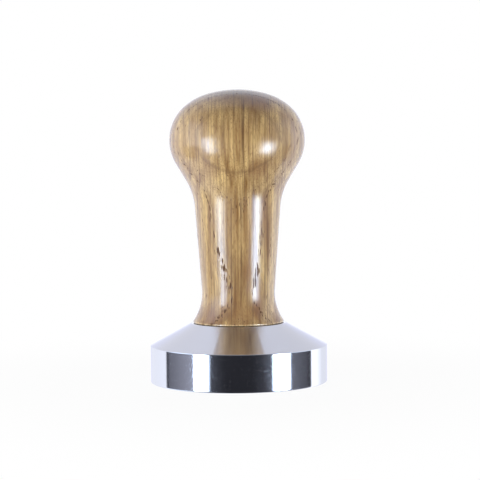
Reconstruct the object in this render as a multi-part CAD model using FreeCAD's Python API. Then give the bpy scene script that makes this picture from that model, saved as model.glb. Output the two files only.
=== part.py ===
import FreeCAD, Part
import math
import os

# Espresso tamper: a turned stainless steel piston on a turned hardwood handle.
# Millimetres, +Z up. The origin is the centre of the tamping face, which the tamper stands on.
# A set screw is fixed in the base, and the handle carries a threaded insert that screws onto it.

Vec = FreeCAD.Vector
UP = Vec(0, 0, 1)
ORIGIN = Vec(0, 0, 0)

# Base
BASE_DIAMETER = 58.0
WALL_HEIGHT = 12.0
CONE_HEIGHT = 7.3
LAND_DIAMETER = 31.2
FACE_CHAMFER = 0.3
WALL_EDGE_CHAMFER = 0.2
LAND_EDGE_CHAMFER = 0.15

# Screw thread, drawn as a plain cylinder of its outer diameter
THREAD_DIAMETER = 8.0
THREAD_PLAY = 0.05
DRILL_POINT_ANGLE = 118.0

# Stud
STUD_LENGTH = 25.0
STUD_SEAT_DEPTH = 11.0
STUD_END_CHAMFER = 0.7
HEX_ACROSS_FLATS = 4.0
HEX_DEPTH = 5.0
STUD_HOLE_RUNOUT = 1.0
STUD_HOLE_CHAMFER = 0.8

# Seat washer
WASHER_DIAMETER = 20.0
WASHER_THICKNESS = 1.0
WASHER_STUD_GAP = 0.3
WASHER_RECESS_GAP = 0.3
FOOT_GAP = 0.15

# Threaded insert
INSERT_DIAMETER = 12.0
INSERT_LENGTH = 16.0
FLANGE_DIAMETER = 16.0
FLANGE_THICKNESS = 1.2
GLUE_GAP = 0.05
GLUE_GROOVE_DEPTH = 0.5
GLUE_GROOVE_WIDTH = 2.0
GLUE_GROOVE_SPACING = 4.6
GLUE_GROOVE_COUNT = 2
INSERT_MOUTH_CHAMFER = 0.6
DRIVE_SLOT_WIDTH = 1.6
DRIVE_SLOT_DEPTH = 0.8

# Handle
WAIST_DIAMETER = 23.9
WAIST_RISE = 9.7
FOOT_FLARE = 3.2
FOOT_EDGE_CHAMFER = 0.3
GRIP_TAPER_ANGLE = 4.3
NECK_RADIUS = 20.5
UNDER_BALL_ANGLE = 31.0
UNDER_BALL_RADIUS = 14.9
BALL_DIAMETER = 44.3
BALL_RISE = 59.6
SHOULDER_RADIUS = 14.7
SHOULDER_ANGLE = 51.5
CROWN_EDGE_RADIUS = 20.2
CROWN_EDGE_ANGLE = 22.7
BORE_END_SPACE = 3.0

# Levels of the stack that the screw joint clamps together
land_z = WALL_HEIGHT + CONE_HEIGHT
stud_bottom_z = land_z - STUD_SEAT_DEPTH
washer_top_z = land_z + WASHER_THICKNESS
foot_z = land_z + FOOT_GAP
insert_mouth_z = washer_top_z
flange_top_z = insert_mouth_z + FLANGE_THICKNESS
insert_top_z = insert_mouth_z + INSERT_LENGTH
thread_hole_radius = THREAD_DIAMETER / 2 + THREAD_PLAY


def point(radius, height):
    """A point of a profile, in the XZ plane."""
    return Vec(radius, 0, height)


def revolved(edges):
    """Turns a closed profile in the XZ plane into a solid about the upright axis."""
    return Part.Face(Part.Wire(edges)).revolve(ORIGIN, UP, 360)


def revolved_polygon(points):
    """A turned solid with straight sides, from its corners in order."""
    corners = points + [points[0]]
    return revolved([Part.makeLine(a, b) for a, b in zip(corners, corners[1:])])


def drill_tip_height(radius):
    return radius / math.tan(math.radians(DRILL_POINT_ANGLE / 2))


def circular_edges(solid, radius, height):
    """The round edges of a solid that lie at one radius and height."""
    found = []
    for edge in solid.Edges:
        # A pole of the solid is an edge of no length, which has no curve.
        curve = None if edge.Degenerated else edge.Curve
        if isinstance(curve, Part.Circle):
            same_radius = abs(curve.Radius - radius) < 1e-4
            same_height = abs(curve.Center.z - height) < 1e-4
            if same_radius and same_height:
                found.append(edge)
    return found


def make_base():
    """The piston: cylinder wall, cone, flat land, and a blind threaded hole from the top."""
    base_radius = BASE_DIAMETER / 2
    land_radius = LAND_DIAMETER / 2
    body = revolved_polygon([
        point(0, 0),
        point(base_radius, 0),
        point(base_radius, WALL_HEIGHT),
        point(land_radius, land_z),
        point(0, land_z),
    ])
    body = body.makeChamfer(FACE_CHAMFER, circular_edges(body, base_radius, 0))
    body = body.makeChamfer(WALL_EDGE_CHAMFER, circular_edges(body, base_radius, WALL_HEIGHT))
    body = body.makeChamfer(LAND_EDGE_CHAMFER, circular_edges(body, land_radius, land_z))
    hole_bottom_z = stud_bottom_z - STUD_HOLE_RUNOUT
    hole = revolved_polygon([
        point(0, hole_bottom_z - drill_tip_height(thread_hole_radius)),
        point(thread_hole_radius, hole_bottom_z),
        point(thread_hole_radius, land_z - STUD_HOLE_CHAMFER),
        point(thread_hole_radius + STUD_HOLE_CHAMFER, land_z),
        point(0, land_z),
    ])
    return body.cut(hole)


def make_stud():
    """The set screw: chamfered at both ends, with a hex socket in its top."""
    radius = THREAD_DIAMETER / 2
    top_z = stud_bottom_z + STUD_LENGTH
    screw = revolved_polygon([
        point(0, stud_bottom_z),
        point(radius - STUD_END_CHAMFER, stud_bottom_z),
        point(radius, stud_bottom_z + STUD_END_CHAMFER),
        point(radius, top_z - STUD_END_CHAMFER),
        point(radius - STUD_END_CHAMFER, top_z),
        point(0, top_z),
    ])
    corner_radius = HEX_ACROSS_FLATS / 2 / math.cos(math.pi / 6)
    corners = []
    for index in range(7):
        angle = index * math.pi / 3
        corner = Vec(corner_radius * math.cos(angle), corner_radius * math.sin(angle), top_z)
        corners.append(corner)
    socket = Part.Face(Part.makePolygon(corners)).extrude(Vec(0, 0, -HEX_DEPTH))
    return screw.cut(socket)


def make_seat_washer():
    """The thin ring that the handle clamps against the land."""
    outer_radius = WASHER_DIAMETER / 2
    inner_radius = THREAD_DIAMETER / 2 + WASHER_STUD_GAP
    return revolved_polygon([
        point(inner_radius, land_z),
        point(outer_radius, land_z),
        point(outer_radius, washer_top_z),
        point(inner_radius, washer_top_z),
    ])


def make_insert():
    """The brass nut in the handle: a barrel with glue grooves, and a flange with a drive slot across it."""
    barrel_radius = INSERT_DIAMETER / 2
    flange_radius = FLANGE_DIAMETER / 2
    body = revolved_polygon([
        point(thread_hole_radius + INSERT_MOUTH_CHAMFER, insert_mouth_z),
        point(flange_radius, insert_mouth_z),
        point(flange_radius, flange_top_z),
        point(barrel_radius, flange_top_z),
        point(barrel_radius, insert_top_z),
        point(thread_hole_radius, insert_top_z),
        point(thread_hole_radius, insert_mouth_z + INSERT_MOUTH_CHAMFER),
    ])
    groove_radius = barrel_radius - GLUE_GROOVE_DEPTH
    for index in range(GLUE_GROOVE_COUNT):
        groove_z = flange_top_z + (index + 0.5) * GLUE_GROOVE_SPACING
        groove = Part.makeCylinder(barrel_radius, GLUE_GROOVE_WIDTH, Vec(0, 0, groove_z))
        core = Part.makeCylinder(groove_radius, GLUE_GROOVE_WIDTH, Vec(0, 0, groove_z))
        body = body.cut(groove.cut(core))
    slot_corner = Vec(-flange_radius, -DRIVE_SLOT_WIDTH / 2, insert_mouth_z)
    slot = Part.makeBox(FLANGE_DIAMETER, DRIVE_SLOT_WIDTH, DRIVE_SLOT_DEPTH, slot_corner)
    return body.cut(slot)


def on_circle(centre, radius, angle):
    """The point of a profile circle at an angle from the horizontal, in radians."""
    return centre + point(radius * math.cos(angle), radius * math.sin(angle))


def arc(centre, radius, start_angle, end_angle):
    """An arc of a profile between two angles, in radians."""
    start = on_circle(centre, radius, start_angle)
    middle = on_circle(centre, radius, (start_angle + end_angle) / 2)
    end = on_circle(centre, radius, end_angle)
    return Part.Arc(start, middle, end).toShape()


def handle_side():
    """The side of the handle, from the flat of its foot to the top of its crown.

    After the broken edge of the foot, eight pieces meet without a corner: the hollow arc of the flare, the
    straight taper of the grip, the hollow arc of the neck, the straight slope and the arc under the ball, and
    the shoulder, edge and top arcs of the crown.
    """
    taper = math.radians(GRIP_TAPER_ANGLE)
    slope = math.radians(UNDER_BALL_ANGLE)
    ball_radius = BALL_DIAMETER / 2
    ball_z = foot_z + BALL_RISE

    # The flare is upright at the waist and widens by the foot's flare on its way down to the foot.
    flare_radius = (WAIST_RISE ** 2 + FOOT_FLARE ** 2) / (2 * FOOT_FLARE)
    flare_centre = point(WAIST_DIAMETER / 2 + flare_radius, foot_z + WAIST_RISE)
    flare_angle = math.pi + math.asin((WAIST_RISE - FOOT_EDGE_CHAMFER) / flare_radius)
    flare_start = on_circle(flare_centre, flare_radius, flare_angle)
    foot_edge = point(flare_start.x - FOOT_EDGE_CHAMFER, foot_z)
    grip_start = on_circle(flare_centre, flare_radius, math.pi - taper)

    # The grip and the slope under the ball would meet in a corner, which the arc of the neck rounds off.
    under_centre = point(ball_radius - UNDER_BALL_RADIUS, ball_z)
    slope_end = on_circle(under_centre, UNDER_BALL_RADIUS, -slope)
    along_grip = point(math.sin(taper), math.cos(taper))
    along_slope = point(math.sin(slope), math.cos(slope))
    between = slope_end - grip_start
    corner_reach = between.cross(along_slope).y / along_grip.cross(along_slope).y
    corner = grip_start + along_grip * corner_reach
    cut_back = NECK_RADIUS * math.tan((slope - taper) / 2)
    grip_end = corner - along_grip * cut_back
    slope_start = corner + along_slope * cut_back
    neck_centre = grip_end + point(math.cos(taper), -math.sin(taper)) * NECK_RADIUS

    # The shoulder is upright at the widest point. The top arc is centred on the axis, so it ends level.
    shoulder_angle = math.radians(SHOULDER_ANGLE)
    edge_angle = shoulder_angle + math.radians(CROWN_EDGE_ANGLE)
    shoulder_centre = point(ball_radius - SHOULDER_RADIUS, ball_z)
    edge_centre = on_circle(shoulder_centre, SHOULDER_RADIUS - CROWN_EDGE_RADIUS, shoulder_angle)
    top_radius = CROWN_EDGE_RADIUS + edge_centre.x / math.cos(edge_angle)
    top_centre = on_circle(edge_centre, CROWN_EDGE_RADIUS - top_radius, edge_angle)

    return [
        Part.makeLine(foot_edge, flare_start),
        arc(flare_centre, flare_radius, flare_angle, math.pi - taper),
        Part.makeLine(grip_start, grip_end),
        arc(neck_centre, NECK_RADIUS, math.pi - taper, math.pi - slope),
        Part.makeLine(slope_start, slope_end),
        arc(under_centre, UNDER_BALL_RADIUS, -slope, 0),
        arc(shoulder_centre, SHOULDER_RADIUS, 0, shoulder_angle),
        arc(edge_centre, CROWN_EDGE_RADIUS, shoulder_angle, edge_angle),
        arc(top_centre, top_radius, edge_angle, math.pi / 2),
    ]


def make_handle():
    """The turned handle, with a washer recess, a flange seat and a blind bore in its foot."""
    side = handle_side()
    side_ends = Part.Wire(side).OrderedVertexes
    foot_edge = side_ends[0].Point
    crown_top = side_ends[-1].Point
    foot_centre = point(0, foot_z)
    body = revolved(side + [Part.makeLine(crown_top, foot_centre), Part.makeLine(foot_centre, foot_edge)])

    recess_radius = WASHER_DIAMETER / 2 + WASHER_RECESS_GAP
    seat_radius = FLANGE_DIAMETER / 2 + GLUE_GAP
    bore_radius = INSERT_DIAMETER / 2 + GLUE_GAP
    bore_end_z = insert_top_z + BORE_END_SPACE
    bore = revolved_polygon([
        point(0, foot_z),
        point(recess_radius, foot_z),
        point(recess_radius, washer_top_z),
        point(seat_radius, washer_top_z),
        point(seat_radius, flange_top_z),
        point(bore_radius, flange_top_z),
        point(bore_radius, bore_end_z),
        point(0, bore_end_z + drill_tip_height(bore_radius)),
    ])
    return body.cut(bore)


def main():
    os.makedirs("parts", exist_ok=True)
    nodes = {
        "base": make_base(),
        "stud": make_stud(),
        "seat_washer": make_seat_washer(),
        "insert": make_insert(),
        "handle": make_handle(),
    }
    for name, shape in nodes.items():
        solid = shape.Solids[0]
        solid.exportStep("parts/" + name + ".step")
        height = solid.optimalBoundingBox().ZLength
        print(name, "volume", round(solid.Volume), "mm3, height", round(height, 2), "mm")


main()
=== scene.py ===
# %% [markdown]
# # An espresso tamper: turned steel under turned hardwood
#
# A tamper presses ground coffee flat. This one is a heavy stainless steel piston under a lacquered wooden
# handle, and a set screw holds the two together. The CAD frame has every size and place already. Nearly
# every piece came off a lathe, so this lesson draws outlines and turns them, and then spends its time on
# the two surfaces that make the object: bright turned steel and lacquered ring-porous wood.

# %% Load the frame
import math

import bpy
from mathutils import Matrix, Vector


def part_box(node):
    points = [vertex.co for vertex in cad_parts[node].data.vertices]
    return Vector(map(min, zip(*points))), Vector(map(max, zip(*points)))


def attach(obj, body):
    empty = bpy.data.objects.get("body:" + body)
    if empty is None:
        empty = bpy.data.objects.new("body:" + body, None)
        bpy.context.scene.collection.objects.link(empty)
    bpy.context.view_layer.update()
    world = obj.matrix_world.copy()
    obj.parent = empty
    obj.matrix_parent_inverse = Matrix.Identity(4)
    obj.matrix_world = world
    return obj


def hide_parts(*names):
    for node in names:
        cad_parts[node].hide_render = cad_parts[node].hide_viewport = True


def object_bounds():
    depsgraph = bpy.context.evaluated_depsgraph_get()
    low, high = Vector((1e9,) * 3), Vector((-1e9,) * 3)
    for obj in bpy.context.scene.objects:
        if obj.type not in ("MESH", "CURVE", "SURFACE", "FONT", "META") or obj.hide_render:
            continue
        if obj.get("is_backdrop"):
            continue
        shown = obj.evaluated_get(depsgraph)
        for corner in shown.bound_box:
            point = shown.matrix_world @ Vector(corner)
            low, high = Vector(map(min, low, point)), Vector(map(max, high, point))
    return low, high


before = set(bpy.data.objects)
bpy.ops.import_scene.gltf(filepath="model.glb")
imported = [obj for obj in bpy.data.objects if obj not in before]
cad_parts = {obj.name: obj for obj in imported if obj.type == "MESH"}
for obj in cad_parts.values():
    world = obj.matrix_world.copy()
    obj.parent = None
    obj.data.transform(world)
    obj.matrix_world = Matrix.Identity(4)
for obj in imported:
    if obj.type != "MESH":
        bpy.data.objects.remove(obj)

cad_box = [list(corner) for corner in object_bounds()]
print("nodes:", sorted(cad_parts))
print("box in mm:", [[round(value * 1000, 2) for value in corner] for corner in cad_box])

# %% [markdown]
# ## Sizes
# Heights come from the CAD nodes, so nothing has to be fitted by eye. The other values repeat the named
# sizes of the CAD model, in millimetres, because a lathe outline is easiest to think about in those.

# %% Heights of the pieces
MM = 0.001


def height_of(node, end):
    """The height of a node's lowest point (end 0) or highest point (end 1), in millimetres."""
    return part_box(node)[end][2] / MM


land_z = height_of("base", 1)
stud_z = height_of("stud", 0)
foot_z = height_of("handle", 0)
washer_top_z = height_of("seat_washer", 1)
insert_top_z = height_of("insert", 1)
print("land", round(land_z, 2), "foot", round(foot_z, 2), "crown", round(height_of("handle", 1), 2))

# %% [markdown]
# ## The camera
# A long lens from half a metre keeps the tamper's sides nearly parallel, as product views do. The camera is
# a little above the piston and very slightly rolled. The Standard view shows each colour as it is written.

# %% Place the camera
CAMERA_DISTANCE = 500.0
CAMERA_ELEVATION = 3.08
CAMERA_ROLL = -0.5
CAMERA_LENS = 114.27
target = Vector((0.69, 0, 46.3)) * MM
middle = Vector((0, 0, 45)) * MM
elevation = math.radians(CAMERA_ELEVATION)
away = Vector((0, -math.cos(elevation), math.sin(elevation)))

bpy.ops.object.camera_add(location=middle + away * CAMERA_DISTANCE * MM)
camera = bpy.context.object
camera.name = "camera"
aim = (target - camera.location).to_track_quat("-Z", "Y").to_matrix()
camera.rotation_euler = (aim @ Matrix.Rotation(math.radians(CAMERA_ROLL), 3, "Z")).to_euler()
camera.data.sensor_width = 36
camera.data.lens = CAMERA_LENS
bpy.context.scene.camera = camera
bpy.context.scene.view_settings.view_transform = "Standard"
print("camera at", [round(value / MM) for value in camera.location], "mm")

# %% [markdown]
# ## Adding nodes
# Every material, and the light of the room, is a tree of nodes. One small function adds a node, sets it up
# and links it, so each later line reads as one step of the recipe.

# %% Helpers for node trees
def add_node(tree, kind, inputs=None, **settings):
    """Adds a node. Each input gets a value, or a link from a socket or from a node's first output."""
    node = tree.nodes.new(kind)
    for name, value in settings.items():
        setattr(node, name, value)
    for key, value in (inputs or {}).items():
        if isinstance(value, bpy.types.Node):
            value = value.outputs[0]
        if isinstance(value, bpy.types.NodeSocket):
            tree.links.new(value, node.inputs[key])
        else:
            node.inputs[key].default_value = value
    return node


def linear(code):
    """The linear colour of an sRGB hex code such as #BE9F6E."""
    channels = [int(code[start:start + 2], 16) / 255 for start in (1, 3, 5)]
    return tuple(c / 12.92 if c <= 0.04045 else ((c + 0.055) / 1.055) ** 2.4 for c in channels) + (1.0,)


def set_stops(ramp, stops):
    """Gives a colour ramp its (place, linear colour) stops, in order."""
    elements = ramp.color_ramp.elements
    while len(elements) < len(stops):
        elements.new(1.0)
    for element, (place, value) in zip(elements, stops):
        element.position = place
        element.color = value


def grey(value):
    """The linear colour of a neutral grey."""
    return (value, value, value, 1.0)


print("mid tan is", [round(value, 3) for value in linear("#BE9F6E")])

# %% [markdown]
# ## The room
# Polished metal shows nothing but its surroundings, so the room matters more than any lamp. A product
# studio has a white backdrop behind the object and a dark room behind the camera. Its ceiling follows the
# same plan, only softer. Only reflections see that room. The camera sees plain white, and matt surfaces get
# one plain soft level, so a colour renders about as it is written.

# %% Directions in the room
world = bpy.data.worlds.new("studio")
bpy.context.scene.world = world
world.use_nodes = True
room = world.node_tree
room.nodes.clear()
world.cycles.sampling_method = "NONE"

direction = add_node(room, "ShaderNodeTexCoord").outputs["Generated"]
axes = add_node(room, "ShaderNodeSeparateXYZ", {0: direction})
toward_front = add_node(room, "ShaderNodeMath", {0: axes.outputs["Y"], 1: -1.0}, operation="MULTIPLY")
turn = add_node(room, "ShaderNodeMath", {0: axes.outputs["X"], 1: toward_front}, operation="ARCTAN2")
compass = add_node(room, "ShaderNodeMath", {0: turn}, operation="DEGREES")
rise = add_node(room, "ShaderNodeMath", {0: axes.outputs["Z"]}, operation="ARCSINE")
climb = add_node(room, "ShaderNodeMath", {0: rise}, operation="DEGREES")
print("room directions: 0 is the front, 90 the right, 180 the back")

# %% The walls of the room, all round
RED_TINT = 0.98
BRIGHT_BLUE_TINT = 1.09
DARK_BLUE_TINT = 1.2
walls_place = add_node(room, "ShaderNodeMapRange", {"Value": compass, "From Min": -180.0, "From Max": 180.0})
walls = add_node(room, "ShaderNodeValToRGB", {0: walls_place})
WALL_STOPS = [
    # degrees round the room, brightness
    (-180, 1.15), (-174, 1.15), (-166, 0.93), (-150, 1.15), (-109.0, 1.38), (-107.6, 0.10), (-103.6, 0.10),
    (-101.4, 0.22), (-88, 0.29), (-62, 0.46), (-60, 0.12), (-38, 0.12), (-30, 0.065), (-18, 0.034),
    (0, 0.032), (18, 0.034), (31, 0.065), (43, 0.14), (69, 0.14), (71, 0.21), (98.6, 0.12), (100.0, 0.08),
    (106.6, 0.08), (108.0, 1.9), (120, 1.7), (136, 1.15), (150, 1.05), (166, 0.90), (174, 1.15), (180, 1.15),
]
wall_colours = []
for degrees, value in WALL_STOPS:
    blue_tint = BRIGHT_BLUE_TINT if value > 1 else DARK_BLUE_TINT
    wall_colours.append(((degrees + 180) / 360, (RED_TINT * value, value, blue_tint * value, 1.0)))
set_stops(walls, wall_colours)
print(len(WALL_STOPS), "stops round the room")

# %% The ceiling, and who sees what
WALL_TOP = 12.0
CEILING_EDGE = 29.0
CEILING_BLUE_TINT = 1.08
MATT_LEVEL = 0.24
ceiling_part = add_node(room, "ShaderNodeMapRange", {
    "Value": climb, "From Min": WALL_TOP, "From Max": CEILING_EDGE}, interpolation_type="SMOOTHSTEP")
ceiling = add_node(room, "ShaderNodeValToRGB", {0: walls_place})
CEILING_STOPS = [
    # degrees round the room, brightness
    (-180, 0.60), (-175, 0.60), (-167, 0.97), (-112, 0.93), (-75, 0.30), (75, 0.30), (112, 0.85),
    (167, 0.91), (175, 0.60), (180, 0.60),
]
set_stops(ceiling, [((degrees + 180) / 360, (value, value, CEILING_BLUE_TINT * value, 1.0))
                    for degrees, value in CEILING_STOPS])
whole_room = add_node(room, "ShaderNodeMix", {0: ceiling_part, 6: walls, 7: ceiling}, data_type="RGBA")
rays = add_node(room, "ShaderNodeLightPath")
not_camera = add_node(room, "ShaderNodeMix", {
    0: rays.outputs["Is Glossy Ray"], 6: grey(MATT_LEVEL), 7: whole_room.outputs[2]}, data_type="RGBA")
seen = add_node(room, "ShaderNodeMix", {
    0: rays.outputs["Is Camera Ray"], 6: not_camera.outputs[2], 7: grey(1.0)}, data_type="RGBA")
background = add_node(room, "ShaderNodeBackground", {"Color": seen.outputs[2]})
add_node(room, "ShaderNodeOutputWorld", {"Surface": background})
print("room nodes:", len(room.nodes))

# %% [markdown]
# ## Strip lights and cards
# The two tall lights stand close to the tamper, about 20 cm away, so each part of it sees them at its own
# angle: the highlights sit low on the ball and run the full length of the grip. A card with a glowing
# material does this, because a light painted on the far wall would be seen at the same angle from
# everywhere. Four large weak cards, two at the left, one at the right and one high behind, add the broad
# pale sheen near the outline of the ball and the grip. Each card only adds its glow to what is behind it,
# and fades towards its edges.

# %% Put up the lights and cards
CARDS = [
    # name, place in mm, width, lowest and highest point, brightness, softness: left, right, bottom, top
    ("strip_left", (-159, -155), 96, -68, 108, 13.9, 18, 54, 56, 42),
    ("strip_right", (177, -131), 110, -64, 72, 23.0, 40, 56, 44, 54),
    ("left_card", (-250, -30), 290, 20, 300, 1.75, 150, 60, 25, 120),
    ("low_card", (-250, -30), 290, -300, -45, 1.1, 60, 60, 100, 50),
    ("right_card", (250, -10), 250, 25, 300, 0.7, 60, 60, 25, 120),
    ("back_card", (0, 300), 300, 225, 430, 0.4, 90, 90, 80, 110),
]
CARD_COLOUR = (0.82, 1.0, 1.25, 1.0)
for name, (x, y), width, bottom, top, brightness, *softness in CARDS:
    bpy.ops.object.select_all(action="DESELECT")
    bpy.ops.mesh.primitive_plane_add(size=1, location=(0, 0, 0))
    card = bpy.context.object
    card.name = name
    card.scale = (width * MM, (top - bottom) * MM, 1)
    bpy.ops.object.transform_apply(location=False, rotation=False, scale=True)
    card.location = Vector((x, y, (bottom + top) / 2)) * MM
    card.rotation_euler = (math.pi / 2, 0, math.atan2(x, -y))
    glow = bpy.data.materials.new(name + "_glow")
    glow.use_nodes = True
    tree = glow.node_tree
    tree.nodes.clear()
    place = add_node(tree, "ShaderNodeTexCoord").outputs["Object"]
    axes = add_node(tree, "ShaderNodeSeparateXYZ", {0: place})
    half_width = width / 2 * MM
    half_height = (top - bottom) / 2 * MM
    edges = [("X", -half_width, 1), ("X", half_width, -1), ("Y", -half_height, 1), ("Y", half_height, -1)]
    shape = 1.0
    for (axis, edge, inwards), soft in zip(edges, softness):
        rise = add_node(tree, "ShaderNodeMapRange", {
            "Value": axes.outputs[axis], "From Min": edge, "From Max": edge + inwards * soft * MM},
            interpolation_type="SMOOTHSTEP")
        shape = add_node(tree, "ShaderNodeMath", {0: shape, 1: rise}, operation="MULTIPLY")
    strength = add_node(tree, "ShaderNodeMath", {0: shape, 1: brightness}, operation="MULTIPLY")
    light = add_node(tree, "ShaderNodeEmission", {"Color": CARD_COLOUR, "Strength": strength})
    clear = add_node(tree, "ShaderNodeBsdfTransparent")
    added = add_node(tree, "ShaderNodeAddShader", {0: light, 1: clear})
    add_node(tree, "ShaderNodeOutputMaterial", {"Surface": added})
    card.data.materials.append(glow)
    card.visible_camera = False
    card.visible_diffuse = False
    card.visible_transmission = False
    card.visible_shadow = False
    card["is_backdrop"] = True
print("cards:", [card_row[0] for card_row in CARDS])

# %% [markdown]
# ## Lamps
# Two broad lamps from the front corners give the matt wood its gentle shape, and one behind keeps the back
# warm. They're hidden from reflections, because the cards above already make the highlights.

# %% Add the lamps
LAMPS = [
    # name, place in mm, size in mm, power in watts
    ("lamp_left", (-240, -172, 45), 110, 0.72),
    ("lamp_right", (238, -172, 20), 110, 0.65),
    ("lamp_back", (0, 300, 60), 150, 0.6),
]
for name, place, size, power in LAMPS:
    bpy.ops.object.light_add(type="AREA", location=Vector(place) * MM)
    lamp = bpy.context.object
    lamp.name = name
    lamp.data.size = size * MM
    lamp.data.energy = power
    lamp.rotation_euler = (middle - lamp.location).to_track_quat("-Z", "Y").to_euler()
    lamp.visible_glossy = False
print("lamps:", [name for name, place, size, power in LAMPS])

# %% [markdown]
# ## The floor
# A pale sheet on which the tamper casts a faint soft shadow. Towards its edge it fades into the white of
# the backdrop, so no horizon shows. Reflections don't see it, and nor does a camera below it.

# %% Lay the floor
FLOOR_RADIUS = 900.0
FLOOR_DROP = 0.2
FADE_START = 30.0
FADE_END = 160.0
FADE_LEAST = 0.95
bpy.ops.mesh.primitive_circle_add(vertices=96, radius=FLOOR_RADIUS * MM, fill_type="NGON",
                                  location=(0, 0, -FLOOR_DROP * MM))
floor = bpy.context.object
floor.name = "floor"
floor.visible_glossy = False

paper = bpy.data.materials.new("matt_white_paper")
paper.use_nodes = True
tree = paper.node_tree
tree.nodes.clear()
place = add_node(tree, "ShaderNodeTexCoord").outputs["Object"]
reach = add_node(tree, "ShaderNodeVectorMath", {0: place}, operation="LENGTH")
fade = add_node(tree, "ShaderNodeMapRange", {
    "Value": reach.outputs["Value"], "From Min": FADE_START * MM, "From Max": FADE_END * MM,
    "To Min": FADE_LEAST}, interpolation_type="SMOOTHSTEP")
rays = add_node(tree, "ShaderNodeLightPath")
white_part = add_node(tree, "ShaderNodeMath", {0: fade, 1: rays.outputs["Is Camera Ray"]},
                      operation="MULTIPLY")
matt = add_node(tree, "ShaderNodeBsdfDiffuse", {"Color": linear("#F2F2F4")})
white = add_node(tree, "ShaderNodeEmission", {"Color": grey(1.0)})
sheet = add_node(tree, "ShaderNodeMixShader", {0: white_part, 1: matt, 2: white})
from_below = add_node(tree, "ShaderNodeNewGeometry").outputs["Backfacing"]
clear = add_node(tree, "ShaderNodeBsdfTransparent")
top_only = add_node(tree, "ShaderNodeMixShader", {0: from_below, 1: sheet, 2: clear})
add_node(tree, "ShaderNodeOutputMaterial", {"Surface": top_only})
floor.data.materials.append(paper)
floor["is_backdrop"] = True
print("floor at", round(floor.location.z / MM, 2), "mm")

# %% [markdown]
# ## Turning a piece
# A lathe makes a solid from an outline, and so does this helper. It could be a curve with a Screw modifier,
# but a spun mesh keeps its points exactly where the outline puts them. The outline starts as one vertex,
# each extrusion adds a point, and Spin carries the line once round the axis.

# %% Helpers that draw and turn an outline
JOIN_DISTANCE = 0.001


def arc(centre, radius, start, end, step=3.0):
    """Points of an arc in an outline. Angles are in degrees from the horizontal."""
    count = max(1, math.ceil(abs(end - start) / step))
    points = []
    for index in range(count + 1):
        angle = math.radians(start + (end - start) * index / count)
        points.append((centre[0] + radius * math.cos(angle), centre[1] + radius * math.sin(angle)))
    return points


def draw_outline(name, outline):
    """A new mesh that is one line through (radius, height) points in millimetres, left in edit mode."""
    bpy.ops.object.select_all(action="DESELECT")
    bpy.ops.mesh.primitive_plane_add(size=MM, location=(0, 0, 0))
    piece = bpy.context.object
    piece.name = name
    piece.data.name = name
    bpy.ops.object.mode_set(mode="EDIT")
    bpy.ops.mesh.merge(type="CENTER")
    radius, height = outline[0]
    bpy.ops.transform.translate(value=(radius * MM, 0, height * MM))
    for (radius, height), (next_radius, next_height) in zip(outline, outline[1:]):
        step = ((next_radius - radius) * MM, 0, (next_height - height) * MM)
        bpy.ops.mesh.extrude_vertices_move(TRANSFORM_OT_translate={"value": step})
    return piece


def tidy_mesh():
    """In edit mode: joins doubled points and turns every face outwards."""
    bpy.ops.mesh.select_all(action="SELECT")
    bpy.ops.mesh.remove_doubles(threshold=JOIN_DISTANCE * MM)
    bpy.ops.mesh.normals_make_consistent(inside=False)


def turned(name, outline, steps=256):
    """The solid that a lathe makes from an outline."""
    piece = draw_outline(name, outline)
    bpy.ops.mesh.select_all(action="SELECT")
    bpy.ops.mesh.spin(steps=steps, angle=2 * math.pi, center=(0, 0, 0), axis=(0, 0, 1))
    tidy_mesh()
    bpy.ops.object.mode_set(mode="OBJECT")
    return piece


def smoothed(piece, angle=25):
    """Shades a piece smooth, apart from its edges that are sharper than an angle."""
    bpy.ops.object.select_all(action="DESELECT")
    piece.select_set(True)
    bpy.context.view_layer.objects.active = piece
    bpy.ops.object.shade_smooth_by_angle(angle=math.radians(angle))
    print(piece.name, len(piece.data.polygons), "faces,", round(piece.dimensions.z / MM, 2), "mm tall")


print("a quarter circle takes", len(arc((0, 0), 1, 0, 90)), "points")

# %% [markdown]
# ## Threads
# A screw thread is one small tooth, carried round and up. The Screw modifier does exactly that: the outline
# of one pitch climbs by one pitch a turn, and its end meets the start of the next turn. Bisect then cuts
# the ragged ends flat. The same thread serves as the screw and, slightly larger, as the tap that cuts the
# two nuts, so the three always mesh.

# %% Helpers for the thread and for cutting
THREAD_RADIUS = 4.0
THREAD_PITCH = 1.25
THREAD_DEPTH = 0.767
THREAD_PLAY = 0.05
THREAD_STEPS = 64
thread_start = stud_z - 2 * THREAD_PITCH


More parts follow.
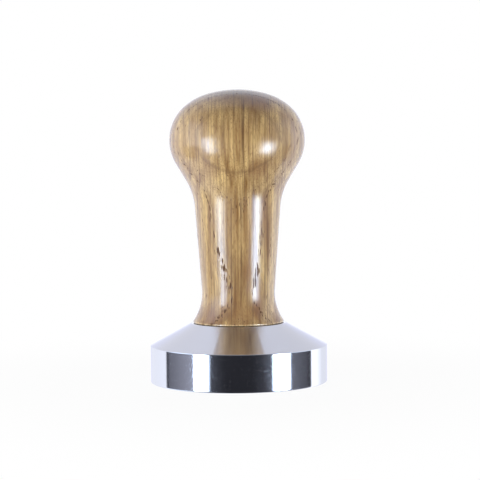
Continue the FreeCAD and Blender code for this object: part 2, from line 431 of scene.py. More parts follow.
def threaded_rod(name, grow, bottom, top):
    """A right-hand thread between two heights, with its surface moved out by grow."""
    root = THREAD_RADIUS - THREAD_DEPTH + grow
    crest = THREAD_RADIUS + grow
    flank = THREAD_PITCH * 5 / 16
    first_turn = math.floor((bottom - thread_start) / THREAD_PITCH) - 1
    start = thread_start + first_turn * THREAD_PITCH
    outline = [
        (root, start),
        (root, start + THREAD_PITCH / 4),
        (crest, start + THREAD_PITCH / 4 + flank),
        (crest, start + THREAD_PITCH * 3 / 8 + flank),
        (root, start + THREAD_PITCH),
    ]
    rod = draw_outline(name, outline)
    bpy.ops.object.mode_set(mode="OBJECT")
    climb = rod.modifiers.new("thread", "SCREW")
    climb.angle = 2 * math.pi
    climb.screw_offset = THREAD_PITCH * MM
    climb.iterations = math.ceil((top - start) / THREAD_PITCH) + 1
    climb.steps = THREAD_STEPS
    climb.render_steps = THREAD_STEPS
    bpy.ops.object.modifier_apply(modifier="thread")
    bpy.ops.object.mode_set(mode="EDIT")
    for height, normal in ((bottom, -1), (top, 1)):
        bpy.ops.mesh.select_all(action="SELECT")
        bpy.ops.mesh.remove_doubles(threshold=JOIN_DISTANCE * MM)
        bpy.ops.mesh.select_all(action="SELECT")
        bpy.ops.mesh.bisect(plane_co=(0, 0, height * MM), plane_no=(0, 0, normal), use_fill=True,
                            clear_outer=True, threshold=0.0001 * MM)
    tidy_mesh()
    bpy.ops.object.mode_set(mode="OBJECT")
    return rod


def cut(piece, tool, operation="DIFFERENCE"):
    """Cuts a piece with a tool, or keeps only what both share, and throws the tool away."""
    bpy.ops.object.select_all(action="DESELECT")
    piece.select_set(True)
    bpy.context.view_layer.objects.active = piece
    step = piece.modifiers.new("cut", "BOOLEAN")
    step.object = tool
    step.operation = operation
    step.solver = "EXACT"
    bpy.ops.object.modifier_apply(modifier="cut")
    bpy.data.objects.remove(tool)


print("thread of", THREAD_RADIUS * 2, "mm with a pitch of", THREAD_PITCH, "mm")

# %% [markdown]
# ## The base
# The piston is one piece of stainless bar: a flat face, an upright wall, a cone and a narrow land. On a
# real one the tool breaks every edge, and those tiny rounds catch a thin line of light, so they're drawn as
# arcs. Extra points close to each edge keep the smooth shading of the wall and the cone even.

# %% Turn the base
BASE_RADIUS = 29.0
WALL_HEIGHT = 12.0
LAND_RADIUS = 15.6
FACE_EDGE = 0.3
WALL_EDGE = 0.35
LAND_EDGE = 0.6
HOLE_RUNOUT = 1.0
HOLE_CHAMFER = 0.8
DRILL_HALF_ANGLE = 59
TAP_STOP = 0.5
TAP_EXIT = 2.0

cone_normal = math.degrees(math.atan2(BASE_RADIUS - LAND_RADIUS, land_z - WALL_HEIGHT))
wall_edge_reach = WALL_EDGE * math.tan(math.radians(cone_normal / 2))
land_edge_reach = LAND_EDGE * math.tan(math.radians((90 - cone_normal) / 2))
hole_radius = THREAD_RADIUS - THREAD_DEPTH + 2 * THREAD_PLAY
mouth_radius = THREAD_RADIUS + THREAD_PLAY + HOLE_CHAMFER
hole_bottom = stud_z - HOLE_RUNOUT

base_outline = [(0, 0), (BASE_RADIUS / 3, 0), (BASE_RADIUS * 2 / 3, 0)]
base_outline += arc((BASE_RADIUS - FACE_EDGE, FACE_EDGE), FACE_EDGE, -90, 0, 18)
base_outline += [(BASE_RADIUS, WALL_HEIGHT * share) for share in (0.04, 0.35, 0.65, 0.97)]
base_outline += arc((BASE_RADIUS - WALL_EDGE, WALL_HEIGHT - wall_edge_reach), WALL_EDGE, 0, cone_normal, 10)
cone_start = Vector((BASE_RADIUS, WALL_HEIGHT))
cone_end = Vector((LAND_RADIUS, land_z))
base_outline += [cone_start.lerp(cone_end, share) for share in (0.04, 0.35, 0.65, 0.96)]
base_outline += arc((LAND_RADIUS - land_edge_reach, land_z - LAND_EDGE), LAND_EDGE, cone_normal, 90, 6)
base_outline += [
    (mouth_radius, land_z),
    (hole_radius, land_z - (mouth_radius - hole_radius)),
    (hole_radius, hole_bottom),
    (0, hole_bottom - hole_radius / math.tan(math.radians(DRILL_HALF_ANGLE))),
]
base = turned("base_turned", base_outline)
cut(base, threaded_rod("tap", THREAD_PLAY, hole_bottom + TAP_STOP, land_z + TAP_EXIT))
smoothed(base)
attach(base, "base")
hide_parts("base")

# %% [markdown]
# ## The stud
# The set screw is a length of thread with chamfered ends and a hex socket for the key that drives it home.
# The thread is cut to the shape of a chamfered blank, as on a real one, so it fades out over the chamfers.

# %% Cut the stud
STUD_CHAMFER = 0.7
HEX_ACROSS_FLATS = 4.0
HEX_DEPTH = 5.0
BLANK_EASE = 0.02
stud_top = height_of("stud", 1)

blank_radius = THREAD_RADIUS + BLANK_EASE
blank = turned("blank", [
    (0, stud_z),
    (THREAD_RADIUS - STUD_CHAMFER, stud_z),
    (blank_radius, stud_z + STUD_CHAMFER + BLANK_EASE),
    (blank_radius, stud_top - STUD_CHAMFER - BLANK_EASE),
    (THREAD_RADIUS - STUD_CHAMFER, stud_top),
    (0, stud_top),
], steps=96)
stud = threaded_rod("stud_threaded", 0, stud_z - 0.5, stud_top + 0.5)
cut(stud, blank, "INTERSECT")

bpy.ops.mesh.primitive_cylinder_add(
    vertices=6, radius=HEX_ACROSS_FLATS / 2 / math.cos(math.pi / 6) * MM, depth=2 * HEX_DEPTH * MM,
    location=(0, 0, stud_top * MM), rotation=(0, 0, math.pi / 6))
cut(stud, bpy.context.object)
smoothed(stud, 35)
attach(stud, "base")
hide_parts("stud")

# %% [markdown]
# ## The seat washer
# A thin nylon ring, stamped and then tumbled, so its corners are soft. It is drawn 0.01 mm short of its
# neighbours on both faces, so that no two flat faces share a plane.

# %% Turn the washer
WASHER_RADIUS = 10.0
WASHER_BORE = 4.3
WASHER_SOFT = 0.12
WASHER_EASE = 0.01

lower_corner = land_z + WASHER_EASE + WASHER_SOFT
upper_corner = washer_top_z - WASHER_EASE - WASHER_SOFT
corners = [
    (WASHER_RADIUS - WASHER_SOFT, lower_corner, -90),
    (WASHER_RADIUS - WASHER_SOFT, upper_corner, 0),
    (WASHER_BORE + WASHER_SOFT, upper_corner, 90),
    (WASHER_BORE + WASHER_SOFT, lower_corner, 180),
]
washer_outline = []
for radius, height, start in corners:
    washer_outline += arc((radius, height), WASHER_SOFT, start, start + 90, 22.5)
washer = turned("washer_ring", washer_outline + washer_outline[:1], steps=128)
smoothed(washer)
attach(washer, "washer")
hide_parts("seat_washer")

# %% [markdown]
# ## The insert
# A brass nut with a flange. Two grooves round its barrel hold the glue, and a slot across the flange takes
# the driver. Only its flange and its thread can ever be seen, when the handle is off.

# %% Turn and cut the insert
INSERT_RADIUS = 6.0
FLANGE_RADIUS = 8.0
FLANGE_THICKNESS = 1.2
GROOVE_DEPTH = 0.5
GROOVE_WIDTH = 2.0
GROOVE_SPACING = 4.6
SLOT_WIDTH = 1.6
SLOT_DEPTH = 0.8
MOUTH_CHAMFER = 0.6
FLANGE_FRONT_EDGE = 0.15
FLANGE_BACK_EDGE = 0.1
BARREL_EDGE = 0.3

insert_z = height_of("insert", 0)
flange_top = insert_z + FLANGE_THICKNESS
insert_mouth = THREAD_RADIUS + THREAD_PLAY + MOUTH_CHAMFER
insert_outline = [
    (hole_radius, insert_z + insert_mouth - hole_radius),
    (insert_mouth, insert_z),
    (FLANGE_RADIUS - FLANGE_FRONT_EDGE, insert_z),
    (FLANGE_RADIUS, insert_z + FLANGE_FRONT_EDGE),
    (FLANGE_RADIUS, flange_top - FLANGE_BACK_EDGE),
    (FLANGE_RADIUS - FLANGE_BACK_EDGE, flange_top),
    (INSERT_RADIUS, flange_top),
]
for index in range(2):
    groove = flange_top + (index + 0.5) * GROOVE_SPACING
    insert_outline += [
        (INSERT_RADIUS, groove),
        (INSERT_RADIUS - GROOVE_DEPTH, groove),
        (INSERT_RADIUS - GROOVE_DEPTH, groove + GROOVE_WIDTH),
        (INSERT_RADIUS, groove + GROOVE_WIDTH),
    ]
insert_outline += [
    (INSERT_RADIUS, insert_top_z - BARREL_EDGE),
    (INSERT_RADIUS - BARREL_EDGE, insert_top_z),
    (hole_radius, insert_top_z),
]
insert = turned("insert_turned", insert_outline + insert_outline[:1], steps=128)
cut(insert, threaded_rod("tap", THREAD_PLAY, insert_z - 1, insert_top_z + 1))

bpy.ops.mesh.primitive_cube_add(size=1, location=(0, 0, insert_z * MM))
slot_cutter = bpy.context.object
slot_cutter.scale = (3 * FLANGE_RADIUS * MM, SLOT_WIDTH * MM, 2 * SLOT_DEPTH * MM)
bpy.ops.object.transform_apply(location=True, rotation=True, scale=True)
cut(insert, slot_cutter)
smoothed(insert, 35)
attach(insert, "handle")
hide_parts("insert")

# %% [markdown]
# ## The handle
# The outline is the whole design: a flared foot, a slim waist, a straight taper that widens upwards, a
# hollow neck and a flattened ball. Every part of it runs into the next without a corner, which is what
# makes a turned handle pleasant to hold, so it is worked out as tangent arcs and not traced by hand.

# %% The outline of the handle
WAIST_RADIUS = 11.95
WAIST_RISE = 9.7
FOOT_FLARE = 3.2
FOOT_EDGE = 0.4
GRIP_TAPER = 4.3
NECK_RADIUS = 20.5
UNDER_BALL_ANGLE = 31.0
UNDER_BALL_RADIUS = 14.9
BALL_RADIUS = 22.15
BALL_RISE = 59.6
SHOULDER_RADIUS = 14.7
SHOULDER_ANGLE = 51.5
CROWN_EDGE_RADIUS = 20.2
CROWN_EDGE_ANGLE = 22.7


def on_circle(centre, radius, angle):
    """The point of a circle at an angle from the horizontal, in degrees."""
    return Vector((centre[0] + radius * math.cos(math.radians(angle)),
                   centre[1] + radius * math.sin(math.radians(angle))))


ball_z = foot_z + BALL_RISE
flare_radius = (WAIST_RISE ** 2 + FOOT_FLARE ** 2) / (2 * FOOT_FLARE)
flare_centre = (WAIST_RADIUS + flare_radius, foot_z + WAIST_RISE)
flare_end = 180 + math.degrees(math.asin((WAIST_RISE - FOOT_EDGE) / flare_radius))
grip_start = on_circle(flare_centre, flare_radius, 180 - GRIP_TAPER)
under_centre = Vector((BALL_RADIUS - UNDER_BALL_RADIUS, ball_z))
slope_end = on_circle(under_centre, UNDER_BALL_RADIUS, -UNDER_BALL_ANGLE)
along_grip = Vector((math.sin(math.radians(GRIP_TAPER)), math.cos(math.radians(GRIP_TAPER))))
along_slope = Vector((math.sin(math.radians(UNDER_BALL_ANGLE)), math.cos(math.radians(UNDER_BALL_ANGLE))))
between = slope_end - grip_start
reach = (between.x * along_slope.y - between.y * along_slope.x) / (
    along_grip.x * along_slope.y - along_grip.y * along_slope.x)
corner = grip_start + along_grip * reach
cut_back = NECK_RADIUS * math.tan(math.radians(UNDER_BALL_ANGLE - GRIP_TAPER) / 2)
grip_end = corner - along_grip * cut_back
neck_centre = grip_end + Vector((along_grip.y, -along_grip.x)) * NECK_RADIUS
shoulder_centre = Vector((BALL_RADIUS - SHOULDER_RADIUS, ball_z))
edge_angle = SHOULDER_ANGLE + CROWN_EDGE_ANGLE
edge_centre = on_circle(shoulder_centre, SHOULDER_RADIUS - CROWN_EDGE_RADIUS, SHOULDER_ANGLE)
top_radius = CROWN_EDGE_RADIUS + edge_centre.x / math.cos(math.radians(edge_angle))
top_centre = on_circle(edge_centre, CROWN_EDGE_RADIUS - top_radius, edge_angle)
print("waist to neck", round(reach - cut_back, 1), "mm, crown", round(top_centre.y + top_radius, 2), "mm up")

# %% Turn the handle
RECESS_PLAY = 0.3
GLUE_PLAY = 0.05
BORE_RUNOUT = 3.0
recess_radius = WASHER_RADIUS + RECESS_PLAY
seat_radius = FLANGE_RADIUS + GLUE_PLAY
bore_radius = INSERT_RADIUS + GLUE_PLAY
bore_end = insert_top_z + BORE_RUNOUT
foot_corner = on_circle(flare_centre, flare_radius, flare_end)

handle_outline = [
    (0, bore_end + bore_radius / math.tan(math.radians(DRILL_HALF_ANGLE))),
    (bore_radius, bore_end),
    (bore_radius, flange_top),
    (seat_radius, flange_top),
    (seat_radius, washer_top_z),
    (recess_radius, washer_top_z),
    (recess_radius, foot_z),
    (foot_corner.x - FOOT_EDGE * 0.45, foot_z),
    (foot_corner.x - FOOT_EDGE * 0.13, foot_z + FOOT_EDGE * 0.1),
    (foot_corner.x, foot_z + FOOT_EDGE * 0.35),
]
handle_outline += arc(flare_centre, flare_radius, flare_end, 180 - GRIP_TAPER)
handle_outline += [grip_start.lerp(grip_end, share) for share in (0.2, 0.4, 0.6, 0.8)]
handle_outline += arc(neck_centre, NECK_RADIUS, 180 - GRIP_TAPER, 180 - UNDER_BALL_ANGLE)
handle_outline += arc(under_centre, UNDER_BALL_RADIUS, -UNDER_BALL_ANGLE, 0)
handle_outline += arc(shoulder_centre, SHOULDER_RADIUS, 0, SHOULDER_ANGLE)[1:]
handle_outline += arc(edge_centre, CROWN_EDGE_RADIUS, SHOULDER_ANGLE, edge_angle)[1:]
handle_outline += arc(top_centre, top_radius, edge_angle, 90)[1:]
handle_outline[-1] = (0, top_centre.y + top_radius)
handle = turned("handle_turned", handle_outline)
smoothed(handle)
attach(handle, "handle")
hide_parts("handle")

# %% [markdown]
# ## Turned stainless steel
# The lathe leaves rings too fine to see one by one. Light slides along them and scatters across them, so
# the steel mirrors the room sharply from side to side and smears it up and down. That is an anisotropic
# metal with its grain turned round the axis. Real rings stand about 0.05 mm apart, and are drawn at 0.2 mm
# so that they show.

# %% Steel of the base
def new_material(name):
    """An empty material, and the tree to fill."""
    material = bpy.data.materials.new(name)
    material.use_nodes = True
    material.node_tree.nodes.clear()
    return material, material.node_tree


def finish_material(tree, shader, piece, material):
    """Ends the tree with a shader and puts the material on its piece."""
    add_node(tree, "ShaderNodeOutputMaterial", {"Surface": shader})
    piece.data.materials.clear()
    piece.data.materials.append(material)
    print(material.name, "has", len(tree.nodes), "nodes")


def place_in_mm(tree):
    """Where a point lies in its piece, in millimetres."""
    place = add_node(tree, "ShaderNodeTexCoord").outputs["Object"]
    return add_node(tree, "ShaderNodeVectorMath", {0: place, 3: 1 / MM}, operation="SCALE")


def distance_from_axis(tree, axes):
    """How far a point lies from the turning axis."""
    flat_place = add_node(tree, "ShaderNodeCombineXYZ", {0: axes.outputs["X"], 1: axes.outputs["Y"]})
    return add_node(tree, "ShaderNodeVectorMath", {0: flat_place}, operation="LENGTH").outputs["Value"]


satin, tree = new_material("turned_stainless_steel")
axes = add_node(tree, "ShaderNodeSeparateXYZ", {0: place_in_mm(tree)})
radius = distance_from_axis(tree, axes)
ring_marks = add_node(tree, "ShaderNodeTexNoise", {
    "W": radius, "Scale": 5.0, "Detail": 4.0, "Roughness": 0.7}, noise_dimensions="1D")
roughness = add_node(tree, "ShaderNodeMapRange", {"Value": ring_marks, "To Min": 0.12, "To Max": 0.17})
ring_bump = add_node(tree, "ShaderNodeBump", {"Strength": 0.10, "Distance": 0.00002, "Height": ring_marks})
round_axis = add_node(tree, "ShaderNodeTangent", direction_type="RADIAL", axis="Z")
shader = add_node(tree, "ShaderNodeBsdfPrincipled", {
    "Base Color": linear("#CDCFD6"), "Metallic": 1.0, "Roughness": roughness, "Normal": ring_bump,
    "Anisotropic": 1.0, "Anisotropic Rotation": 0.25, "Tangent": round_axis})
finish_material(tree, shader, base, satin)

# %% [markdown]
# ## Polished stainless steel
# The upright wall slides in the coffee basket, so it's polished until it mirrors the room. Polishing leaves
# the odd tiny scratch, which shows as a bright speck beside the reflection of a light. Here the specks are
# about 0.25 mm wide, which is coarser than on a real one, so that they show. It is the same piece of steel
# as the cone, so the faces of the wall just get a second material.

# %% Steel of the wall
polished, tree = new_material("polished_stainless_steel")
specks = add_node(tree, "ShaderNodeTexNoise", {"Vector": place_in_mm(tree), "Scale": 4.0, "Detail": 2.0})
roughness = add_node(tree, "ShaderNodeMapRange", {"Value": specks, "From Min": 0.56, "From Max": 0.74,
                                                  "To Min": 0.06, "To Max": 0.30})
shader = add_node(tree, "ShaderNodeBsdfPrincipled", {
    "Base Color": linear("#CCCED4"), "Metallic": 1.0, "Roughness": roughness})
add_node(tree, "ShaderNodeOutputMaterial", {"Surface": shader})
base.data.materials.append(polished)
WALL_MARGIN = 0.2
WALL_SKIN = 0.5
wall_faces = [face for face in base.data.polygons
              if WALL_MARGIN * MM < face.center.z < WALL_HEIGHT * MM
              and Vector(face.center[:2]).length > (BASE_RADIUS - WALL_SKIN) * MM]
for face in wall_faces:
    face.material_index = 1
print(polished.name, "is on", len(wall_faces), "faces")

# %% [markdown]
# ## Zinc-plated screw steel
# The stud is a bought screw, rolled and zinc plated, so it is duller and a little bluer than the base, with
# the faint cloudiness of plating, in clouds of about a millimetre.

# %% Steel of the stud
zinc, tree = new_material("zinc_plated_steel")
clouds = add_node(tree, "ShaderNodeTexNoise", {"Vector": place_in_mm(tree), "Scale": 0.8, "Detail": 3.0})
zinc_colour = add_node(tree, "ShaderNodeMix", {0: clouds, 6: linear("#AEB2B8"), 7: linear("#C6C8CA")},
                       data_type="RGBA")
roughness = add_node(tree, "ShaderNodeMapRange", {"Value": clouds, "To Min": 0.28, "To Max": 0.42})
shader = add_node(tree, "ShaderNodeBsdfPrincipled", {
    "Base Color": zinc_colour.outputs[2], "Metallic": 1.0, "Roughness": roughness})
finish_material(tree, shader, stud, zinc)

# %% [markdown]
# ## Natural nylon
# Unfilled nylon is milky and lets a little light in, with a waxy sheen.

# %% Nylon of the washer
nylon, tree = new_material("natural_nylon")
wax = add_node(tree, "ShaderNodeTexNoise", {"Vector": place_in_mm(tree), "Scale": 0.6, "Detail": 2.0})
nylon_colour = add_node(tree, "ShaderNodeMix", {0: wax, 6: linear("#E4E1D6"), 7: linear("#F0EEE6")},
                        data_type="RGBA")
wax_bump = add_node(tree, "ShaderNodeBump", {"Strength": 0.15, "Distance": 0.00003, "Height": wax})
shader = add_node(tree, "ShaderNodeBsdfPrincipled", {
    "Base Color": nylon_colour.outputs[2], "Roughness": 0.42, "IOR": 1.53, "Normal": wax_bump,
    "Subsurface Weight": 0.25, "Subsurface Scale": 0.0008})
finish_material(tree, shader, washer, nylon)

# %% [markdown]
# ## Free-cutting brass
# The insert is turned from brass bar and left as it comes off the tool: warm yellow, with fine rings, and
# slightly browned by handling. The rings are drawn 0.25 mm apart, a little coarser than a tool leaves them.

# %% Brass of the insert
brass, tree = new_material("turned_brass")
mm_place = place_in_mm(tree)
axes = add_node(tree, "ShaderNodeSeparateXYZ", {0: mm_place})
radius = distance_from_axis(tree, axes)
feed = add_node(tree, "ShaderNodeMath", {0: radius, 1: axes.outputs["Z"]}, operation="SUBTRACT")
ring_marks = add_node(tree, "ShaderNodeTexNoise", {"W": feed, "Scale": 4.0, "Detail": 3.0},
                      noise_dimensions="1D")
tarnish = add_node(tree, "ShaderNodeTexNoise", {"Vector": mm_place, "Scale": 0.5, "Detail": 4.0})
brass_colour = add_node(tree, "ShaderNodeMix", {0: tarnish, 6: linear("#C9A45C"), 7: linear("#E0C078")},
                        data_type="RGBA")
ring_bump = add_node(tree, "ShaderNodeBump", {"Strength": 0.2, "Distance": 0.00003, "Height": ring_marks})
shader = add_node(tree, "ShaderNodeBsdfPrincipled", {
    "Base Color": brass_colour.outputs[2], "Metallic": 1.0, "Roughness": 0.27, "Normal": ring_bump})
finish_material(tree, shader, insert, brass)

# %% [markdown]
# ## Lacquered ring-porous hardwood
# The wood is drawn as ash, cut so that its growth rings lie across the line of sight, about 3 mm apart. A
# lathe cuts through them and leaves a long V down the grip and an oval on the ball. Each ring starts with a
# row of wide pores, which the upright cut opens into short dark dashes, and ends in darker, denser wood.
# Thin dark rays stand across the rings and show as upright lines, each with its own length. A few broad
# stains darken the wood here and there. Low on the left the rings bend, as they do near a knot. All of it
# is a solid pattern in the block of wood, so the figure follows the shape by itself. It could be painted on
# a sheet and wrapped round, but then it would smear on the crown and the foot.
#
# Over the wood lies a clear lacquer. It gives a sharp highlight, dips slightly along the fibres, and is
# missing in the open pores, which stay matt and dark even inside a highlight.

# %% Grain coordinates
WANDER = 0.8
wood, tree = new_material("lacquered_ash")
mm_place = place_in_mm(tree)
slow_place = add_node(tree, "ShaderNodeMapping", {0: mm_place, "Scale": (0.05, 0.05, 0.02)})
wander = add_node(tree, "ShaderNodeTexNoise", {"Vector": slow_place, "Scale": 1.0, "Detail": 1.0})
offset = add_node(tree, "ShaderNodeVectorMath",
                  {0: wander.outputs["Color"], 1: (2 * WANDER, 2 * WANDER, 0.0), 2: (-WANDER, -WANDER, 0.0)},
                  operation="MULTIPLY_ADD")
grain = add_node(tree, "ShaderNodeVectorMath", {0: mm_place, 1: offset}, operation="ADD")
grain_axes = add_node(tree, "ShaderNodeSeparateXYZ", {0: grain})
axes = add_node(tree, "ShaderNodeSeparateXYZ", {0: mm_place})
print("grain wanders by up to", WANDER, "mm")

# %% Patterns that are drawn out along the grain
PATTERNS = [
    # name, scale along X, Y and Z per mm, detail, roughness
    ("ragged rings", (0.7, 0.7, 0.25), 3.0, 0.5),
    ("fibres", (1.9, 0.35, 0.05), 4.0, 0.6),
    ("bands of fibres", (0.6, 0.2, 0.02), 2.0, 0.5),
    ("flecks", (3.0, 3.0, 0.4), 2.0, 0.5),
    ("gaps in the rays", (0.9, 0.2, 0.08), 2.0, 0.5),
    ("broad shades", (0.11, 0.11, 0.035), 2.0, 0.5),
]
noises = []
for name, scale, detail, roughness in PATTERNS:
    drawn_out = add_node(tree, "ShaderNodeMapping", {0: grain, "Scale": scale})
    noises.append(add_node(tree, "ShaderNodeTexNoise", {
        "Vector": drawn_out, "Scale": 1.0, "Detail": detail, "Roughness": roughness}))
ragged, fibres, bands, flecks, gaps, shades = noises
print("patterns:", [name for name, scale, detail, roughness in PATTERNS])

# %% Growth rings
RING_SPACING = 3.1
RING_START = -10.6
RING_RAGGEDNESS = 1.2
RING_BEND = 1.2
BEND_TOP = 52.0
BEND_BOTTOM = 28.0
BEND_EDGE = -3.0
BLOCK_HALF = 24.0
RING_STRENGTH = [
    # distance along Y in mm, how bold the rings are there
    (-20.0, 0.0), (-19.4, 0.0), (-18.2, 1.0), (-17.6, 0.9), (-16.8, 0.2), (-15.9, 0.2), (-15.7, 0.2),
    (-14.6, 0.2), (-14.3, 0.75), (-12.9, 0.8), (-12.6, 0.7), (-11.3, 0.8), (-11.1, 1.15), (-9.6, 1.15),
    (-9.2, 0.7), (24.0, 0.7),
]
bend_down = add_node(tree, "ShaderNodeMapRange", {
    "Value": axes.outputs["Z"], "From Min": BEND_TOP, "From Max": BEND_BOTTOM, "To Max": RING_BEND})
bend_side = add_node(tree, "ShaderNodeMapRange", {
    "Value": grain_axes.outputs["X"], "From Min": 0.0, "From Max": BEND_EDGE})
bent = add_node(tree, "ShaderNodeMath", {0: bend_down, 1: bend_side, 2: grain_axes.outputs["Y"]},
                operation="MULTIPLY_ADD")
ring_depth = add_node(tree, "ShaderNodeMath", {0: ragged, 1: RING_RAGGEDNESS, 2: bent},
                      operation="MULTIPLY_ADD")
ring_count = add_node(tree, "ShaderNodeMapRange", {
    "Value": ring_depth, "From Min": RING_START, "From Max": RING_START + RING_SPACING}, clamp=False)
# The numbers below are places within one ring, from 0 where it starts to 1 where the next one starts.
ring_place = add_node(tree, "ShaderNodeMath", {0: ring_count}, operation="FRACT")
ring_rise = add_node(tree, "ShaderNodeMapRange", {"Value": ring_place, "From Min": 0.5, "From Max": 0.93},
                     interpolation_type="SMOOTHSTEP")
ring_end = add_node(tree, "ShaderNodeMapRange", {"Value": ring_place, "From Min": 1.0, "From Max": 0.85})
latewood = add_node(tree, "ShaderNodeMath", {0: ring_rise, 1: ring_end}, operation="MULTIPLY")
earlywood = add_node(tree, "ShaderNodeMapRange", {"Value": ring_place, "From Min": 0.52, "From Max": 0.04})
depth_place = add_node(tree, "ShaderNodeMapRange", {
    "Value": bent, "From Min": -BLOCK_HALF, "From Max": BLOCK_HALF})
ring_strength = add_node(tree, "ShaderNodeValToRGB", {0: depth_place})
set_stops(ring_strength, [((y + BLOCK_HALF) / (2 * BLOCK_HALF), grey(value)) for y, value in RING_STRENGTH])
print("ring spacing", RING_SPACING, "mm")

# %% Pores
PORE_REACH = 0.44
PORE_EDGE = 0.12
pore_place = add_node(tree, "ShaderNodeMapping", {0: grain, "Scale": (1.9, 1.9, 0.30)})
pores = add_node(tree, "ShaderNodeTexVoronoi", {"Vector": pore_place, "Scale": 1.0})
pore_size = add_node(tree, "ShaderNodeMath", {0: earlywood, 1: ring_strength}, operation="MULTIPLY")
pore_reach = add_node(tree, "ShaderNodeMath", {0: pore_size, 1: PORE_REACH}, operation="MULTIPLY")
pore_depth = add_node(tree, "ShaderNodeMath", {0: pore_reach, 1: pores}, operation="SUBTRACT")
open_pores = add_node(tree, "ShaderNodeMapRange", {"Value": pore_depth, "From Max": PORE_EDGE})
print("pores are 0.5 mm apart and 3 mm long")

# %% Tone of the fibres, in pale and dark bands that are bolder on the grip than on the ball
BALL_BOTTOM = 72.0
NECK_MIDDLE = 58.0
BALL_BANDS = 1.6
GRIP_BANDS = 2.6
BAND_MEAN = 0.47
band_swing = add_node(tree, "ShaderNodeMapRange", {
    "Value": axes.outputs["Z"], "From Min": BALL_BOTTOM, "From Max": NECK_MIDDLE, "To Min": BALL_BANDS,
    "To Max": GRIP_BANDS})
even_bands = add_node(tree, "ShaderNodeMath", {0: bands, 1: -BAND_MEAN}, operation="ADD")
both_fibres = add_node(tree, "ShaderNodeMath", {0: even_bands, 1: band_swing, 2: fibres},
                       operation="MULTIPLY_ADD")
fibre_tone = add_node(tree, "ShaderNodeMapRange", {
    "Value": both_fibres, "From Min": 0.028, "From Max": 0.968})
print("fibres run along the handle")

# %% Rays, the long dark upright lines
RAYS = [
    # x in mm, half width in mm, lowest and highest point in mm, darkness
    (-11.1, 0.3, 72, 92, 0.6), (-6.0, 0.26, 56, 80, 0.5), (-4.2, 0.26, 74, 93, 0.65),
    (-0.9, 0.24, 52, 99, 0.5), (1.95, 0.45, 68, 94, 1.1), (0.9, 0.36, 20, 64, 0.95),
    (5.75, 0.26, 72, 94, 0.5), (10.1, 0.28, 76, 96, 0.7), (14.2, 0.7, 70, 92, 0.4),
    (9.6, 0.45, 40, 64, 0.7), (8.4, 0.26, 22, 48, 0.5), (-9.0, 0.26, 30, 60, 0.4),
    (-2.2, 0.3, 18, 64, 0.65), (-0.1, 0.28, 30, 52, 0.6), (3.0, 0.26, 22, 42, 0.5),
    (5.8, 0.26, 26, 58, 0.5), (-6.6, 0.26, 20, 50, 0.45), (2.1, 0.26, 56, 74, 0.5),
]
RAY_END = 6.0
ray_lines = 0.0
for x, half_width, bottom, top, darkness in RAYS:
    half_length = (top - bottom) / 2
    beside = add_node(tree, "ShaderNodeMath", {0: grain_axes.outputs["X"], 1: -x}, operation="ADD")
    distance = add_node(tree, "ShaderNodeMath", {0: beside}, operation="ABSOLUTE")
    line = add_node(tree, "ShaderNodeMapRange", {
        "Value": distance, "From Min": half_width, "From Max": 0.2 * half_width, "To Max": darkness})
    above = add_node(tree, "ShaderNodeMath", {0: axes.outputs["Z"], 1: -(bottom + top) / 2}, operation="ADD")
    off = add_node(tree, "ShaderNodeMath", {0: above}, operation="ABSOLUTE")
    length = add_node(tree, "ShaderNodeMapRange", {
        "Value": off, "From Min": half_length, "From Max": half_length - RAY_END})
    ended = add_node(tree, "ShaderNodeMath", {0: line, 1: length}, operation="MULTIPLY")
    ray_lines = add_node(tree, "ShaderNodeMath", {0: ray_lines, 1: ended}, operation="ADD")
thin_rays = add_node(tree, "ShaderNodeTexVoronoi", {"W": grain_axes.outputs["X"], "Scale": 0.8},
                     voronoi_dimensions="1D")
thin_lines = add_node(tree, "ShaderNodeMapRange", {
    "Value": thin_rays, "From Min": 0.15, "From Max": 0.03, "To Max": 0.62})
broken = add_node(tree, "ShaderNodeMapRange", {
    "Value": gaps, "From Min": 0.62, "From Max": 0.4, "To Min": 0.15})
broken_lines = add_node(tree, "ShaderNodeMath", {0: thin_lines, 1: broken}, operation="MULTIPLY")
faded = add_node(tree, "ShaderNodeMapRange", {
    "Value": gaps, "From Min": 0.62, "From Max": 0.45, "To Min": 0.5})
long_lines = add_node(tree, "ShaderNodeMath", {0: ray_lines, 1: faded}, operation="MULTIPLY")
rays = add_node(tree, "ShaderNodeMath", {0: long_lines, 1: broken_lines}, operation="MAXIMUM")
print(len(RAYS), "strong rays")

# %% Stains, where the wood is darker for no reason but how the tree grew
STAINS = [
    # x and z of the middle in mm, half width, half height, darkness
    (6.6, 69.8, 3.2, 3.8, 0.5), (7.0, 90.0, 6.5, 3.5, 0.5), (0.0, 92.5, 18.0, 3.5, 0.45),
    (-10.5, 21.5, 4.5, 4.5, 0.4), (9.0, 50.0, 2.2, 15.0, 0.45), (4.6, 42.0, 1.3, 12.0, 0.4),
    (2.3, 37.5, 0.9, 5.0, 0.22), (-0.6, 28.0, 1.8, 5.0, 0.25), (-6.5, 24.0, 3.5, 5.0, 0.3),
    (6.5, 25.0, 2.0, 4.5, 0.45), (0.0, 22.0, 6.0, 5.5, 0.5), (0.8, 34.0, 3.2, 8.0, 0.3),
    (-9.5, 36.0, 3.2, 14.0, 0.3), (-13.6, 48.0, 1.8, 12.0, 0.28), (12.2, 23.0, 1.2, 5.0, 0.4),
]
STAIN_RIM = 1.3
STAIN_HEART = 0.2
stains = 0.0
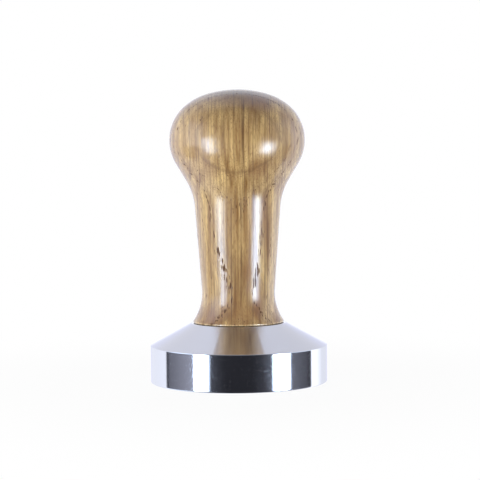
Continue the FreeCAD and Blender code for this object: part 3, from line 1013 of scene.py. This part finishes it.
for x, z, half_width, half_height, darkness in STAINS:
    near = add_node(tree, "ShaderNodeMapping", {
        0: grain, "Location": (-x / half_width, 0.0, -z / half_height),
        "Scale": (1 / half_width, 0.0, 1 / half_height)})
    off = add_node(tree, "ShaderNodeVectorMath", {0: near}, operation="LENGTH").outputs["Value"]
    stain = add_node(tree, "ShaderNodeMapRange", {
        "Value": off, "From Min": STAIN_RIM, "From Max": STAIN_HEART, "To Max": darkness},
        interpolation_type="SMOOTHSTEP")
    stains = add_node(tree, "ShaderNodeMath", {0: stains, 1: stain}, operation="ADD")
print(len(STAINS), "stains")

# %% How much of each shade lies over the plain fibres
CROWN_TOP = 91.0
CROWN_BOTTOM = 82.0
CROWN_SHARE = 0.15
RIM_TOP = 0.5
RIM_BOTTOM = 0.25
EARLY_SHARE = 0.3
RING_DARKNESS = 0.52
RAY_DARKNESS = 0.9
PORE_DARKNESS = 0.88
shade_noise = add_node(tree, "ShaderNodeMapRange", {
    "Value": shades, "From Min": 0.45, "From Max": 0.7, "To Max": 0.4})
shade_part = add_node(tree, "ShaderNodeMath", {0: shade_noise, 1: stains}, operation="ADD", use_clamp=True)
low_down = add_node(tree, "ShaderNodeMapRange", {
    "Value": axes.outputs["Z"], "From Min": CROWN_TOP, "From Max": CROWN_BOTTOM, "To Min": CROWN_SHARE})
crown_rings = add_node(tree, "ShaderNodeMath", {0: latewood, 1: low_down}, operation="MULTIPLY")
late_part = add_node(tree, "ShaderNodeMath", {0: crown_rings, 1: ring_strength}, operation="MULTIPLY")
both_parts = add_node(tree, "ShaderNodeMath", {0: pore_size, 1: EARLY_SHARE, 2: late_part},
                      operation="MULTIPLY_ADD")
ring_part = add_node(tree, "ShaderNodeMath", {0: both_parts, 1: RING_DARKNESS}, operation="MULTIPLY",
                     use_clamp=True)
ray_part = add_node(tree, "ShaderNodeMath", {0: rays, 1: RAY_DARKNESS}, operation="MULTIPLY", use_clamp=True)
fleck_part = add_node(tree, "ShaderNodeMapRange", {
    "Value": flecks, "From Min": 0.5, "From Max": 0.7, "To Max": 0.6})
pore_part = add_node(tree, "ShaderNodeMath", {0: open_pores, 1: PORE_DARKNESS}, operation="MULTIPLY")
# The pale dashed line along the bottom edge of the foot is partly wear. It is also a painted highlight: the
# light that the rounded edge catches.
rim_place = add_node(tree, "ShaderNodeMapRange", {
    "Value": axes.outputs["Z"], "From Min": foot_z + RIM_TOP, "From Max": foot_z + RIM_BOTTOM})
wear_and_highlight_dashes = add_node(tree, "ShaderNodeMapRange", {
    "Value": fibres, "From Min": 0.4, "From Max": 0.62, "To Max": 0.9})
rim_wear_and_painted_highlight = add_node(tree, "ShaderNodeMath", {0: rim_place, 1: wear_and_highlight_dashes}, operation="MULTIPLY")
print("wood nodes so far:", len(tree.nodes))

# %% Wood colour, one shade over the other
wood_colour = add_node(tree, "ShaderNodeMix", {0: fibre_tone, 6: linear("#7C5216"), 7: linear("#DDBC7C")},
                       data_type="RGBA")
shades_over = [
    # what it is, how much of it there is, its colour
    ("stains", shade_part, "#7D4C12"),
    ("late wood", ring_part, "#6A451F"),
    ("rays", ray_part, "#4C260A"),
    ("flecks", fleck_part, "#765028"),
    ("pores", pore_part, "#431A08"),
    # The last layer is a painted highlight along the worn rim of the foot.
    ("wear and painted highlight on the foot's rim", rim_wear_and_painted_highlight, "#E8CFA0"),
]
for name, part, code in shades_over:
    wood_colour = add_node(tree, "ShaderNodeMix", {0: part, 6: wood_colour.outputs[2], 7: linear(code)},
                           data_type="RGBA")
print("over the fibres:", [name for name, part, code in shades_over])

# %% Lacquer over the wood
PORE_DIP = 0.6
FIBRE_DIP = 0.35
pit_height = add_node(tree, "ShaderNodeMath", {0: open_pores, 1: -PORE_DIP}, operation="MULTIPLY")
surface_height = add_node(tree, "ShaderNodeMath", {0: fibres, 1: FIBRE_DIP, 2: pit_height},
                          operation="MULTIPLY_ADD")
pits = add_node(tree, "ShaderNodeBump", {"Strength": 1.0, "Distance": 0.00015, "Height": surface_height})
lacquer = add_node(tree, "ShaderNodeMapRange", {"Value": open_pores, "To Min": 1.0, "To Max": 0.0})
wood_roughness = add_node(tree, "ShaderNodeMapRange", {"Value": open_pores, "To Min": 0.5, "To Max": 1.0})
shader = add_node(tree, "ShaderNodeBsdfPrincipled", {
    "Base Color": wood_colour.outputs[2], "Roughness": wood_roughness, "IOR": 1.5, "Specular IOR Level": 0.7,
    "Normal": pits, "Coat Weight": lacquer, "Coat Roughness": 0.19, "Coat IOR": 1.5, "Coat Normal": pits})
finish_material(tree, shader, handle, wood)

# %% [markdown]
# ## Sizes at the end
# The two boxes are printed as a difference in millimetres, so that the dressed model can be compared with
# the CAD model.

# %% Compare the sizes
scene_box = [list(corner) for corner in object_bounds()]
differences = [[round((b - a) / MM, 3) for a, b in zip(*pair)] for pair in zip(cad_box, scene_box)]
print("difference in mm:", differences)
